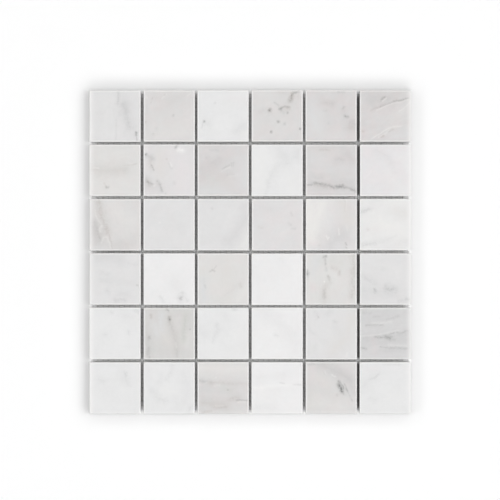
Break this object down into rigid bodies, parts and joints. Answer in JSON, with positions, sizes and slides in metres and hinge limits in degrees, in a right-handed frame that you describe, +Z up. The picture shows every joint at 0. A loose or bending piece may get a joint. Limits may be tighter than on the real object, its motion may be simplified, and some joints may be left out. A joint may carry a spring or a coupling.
{
  "type": "marble mosaic tile sheet",
  "caption": "Flat square sheet of sawn marble mosaic chips stuck face up on a woven glass mesh, with open grout joints between the chips.",
  "frame": {"origin": "middle of the sheet's underside, on the plane that the mesh lies on", "axes": "+Z up out of the polished faces, +X across the columns, +Y up the rows, which is the direction the warp pairs of the mesh run in"},
  "size_m": [0.3003, 0.3022, 0.0106],
  "materials": {
    "marble_white": "polished",
    "marble_pale_grey": "polished",
    "marble_warm_grey": "polished",
    "glass_mesh": "woven"
  },
  "bodies": {
    "root": {"chip_r1_c1": "marble_pale_grey", "chip_r1_c2": "marble_warm_grey", "chip_r1_c3": "marble_white", "chip_r1_c4": "marble_warm_grey", "chip_r1_c5": "marble_warm_grey", "chip_r1_c6": "marble_pale_grey", "chip_r2_c1": "marble_warm_grey", "chip_r2_c2": "marble_white", "chip_r2_c3": "marble_warm_grey", "chip_r2_c4": "marble_white", "chip_r2_c5": "marble_warm_grey", "chip_r2_c6": "marble_white", "chip_r3_c1": "marble_warm_grey", "chip_r3_c2": "marble_pale_grey", "chip_r3_c3": "marble_pale_grey", "chip_r3_c4": "marble_pale_grey", "chip_r3_c5": "marble_warm_grey", "chip_r3_c6": "marble_white", "chip_r4_c1": "marble_pale_grey", "chip_r4_c2": "marble_white", "chip_r4_c3": "marble_warm_grey", "chip_r4_c4": "marble_white", "chip_r4_c5": "marble_warm_grey", "chip_r4_c6": "marble_pale_grey", "chip_r5_c1": "marble_white", "chip_r5_c2": "marble_warm_grey", "chip_r5_c3": "marble_white", "chip_r5_c4": "marble_white", "chip_r5_c5": "marble_pale_grey", "chip_r5_c6": "marble_pale_grey", "chip_r6_c1": "marble_white", "chip_r6_c2": "marble_white", "chip_r6_c3": "marble_warm_grey", "chip_r6_c4": "marble_white", "chip_r6_c5": "marble_warm_grey", "chip_r6_c6": "marble_white", "mesh_ground_ends": "glass_mesh", "mesh_weft_picks": "glass_mesh", "mesh_crossing_ends": "glass_mesh"}
  },
  "joints": []
}
